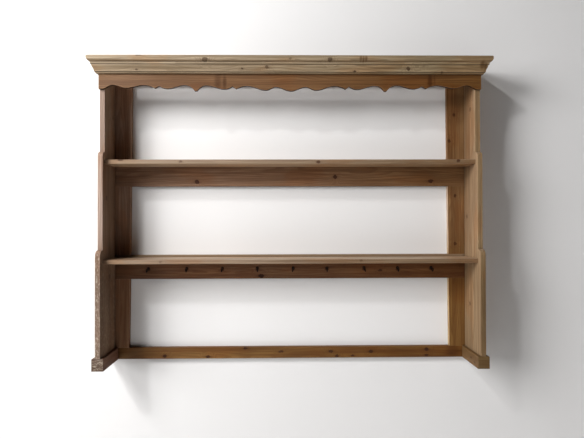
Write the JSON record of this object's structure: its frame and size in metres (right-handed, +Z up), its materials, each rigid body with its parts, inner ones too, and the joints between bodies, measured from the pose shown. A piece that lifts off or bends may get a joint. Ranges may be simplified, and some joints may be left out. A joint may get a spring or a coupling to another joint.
{
  "type": "wall plate rack",
  "caption": "Old pine wall plate rack with shelves, stepped side boards, an open back frame, a scalloped frieze under a moulded cornice and iron cup hooks.",
  "frame": {"origin": "under the middle of the rack's width and depth, on the plane of the feet", "axes": "+X along the rack to the right as seen from the front, +Y back towards the wall, +Z up"},
  "size_m": [1.386, 0.1606, 1.069],
  "materials": {
    "side_pine": "stripped and waxed old pine, silvered on the front edges",
    "shelf_pine": "stripped and waxed old pine, worn pale on the front edges",
    "frame_pine": "red-brown waxed pine with dark knots",
    "frieze_pine": "orange-brown waxed pine, saw-cut scallops",
    "cornice_pine": "grey-tan worn pine moulding",
    "foot_pine": "grey-brown worn pine",
    "hook_iron": "black wrought iron, rubbed"
  },
  "bodies": {
    "root": {"left_side": "side_pine", "right_side": "side_pine", "upper_shelf": "shelf_pine", "lower_shelf": "shelf_pine", "left_stile": "frame_pine", "right_stile": "frame_pine", "top_rail": "frame_pine", "upper_rail": "frame_pine", "lower_rail": "frame_pine", "bottom_rail": "frame_pine", "frieze": "frieze_pine", "cornice_front": "cornice_pine", "cornice_left": "cornice_pine", "cornice_right": "cornice_pine", "left_foot_inner": "foot_pine", "left_foot_outer": "foot_pine", "left_foot_front": "foot_pine", "right_foot_inner": "foot_pine", "right_foot_outer": "foot_pine", "right_foot_front": "foot_pine", "hook_1": "hook_iron", "hook_2": "hook_iron", "hook_3": "hook_iron", "hook_4": "hook_iron", "hook_5": "hook_iron", "hook_6": "hook_iron", "hook_7": "hook_iron", "hook_8": "hook_iron", "hook_9": "hook_iron"}
  },
  "joints": []
}
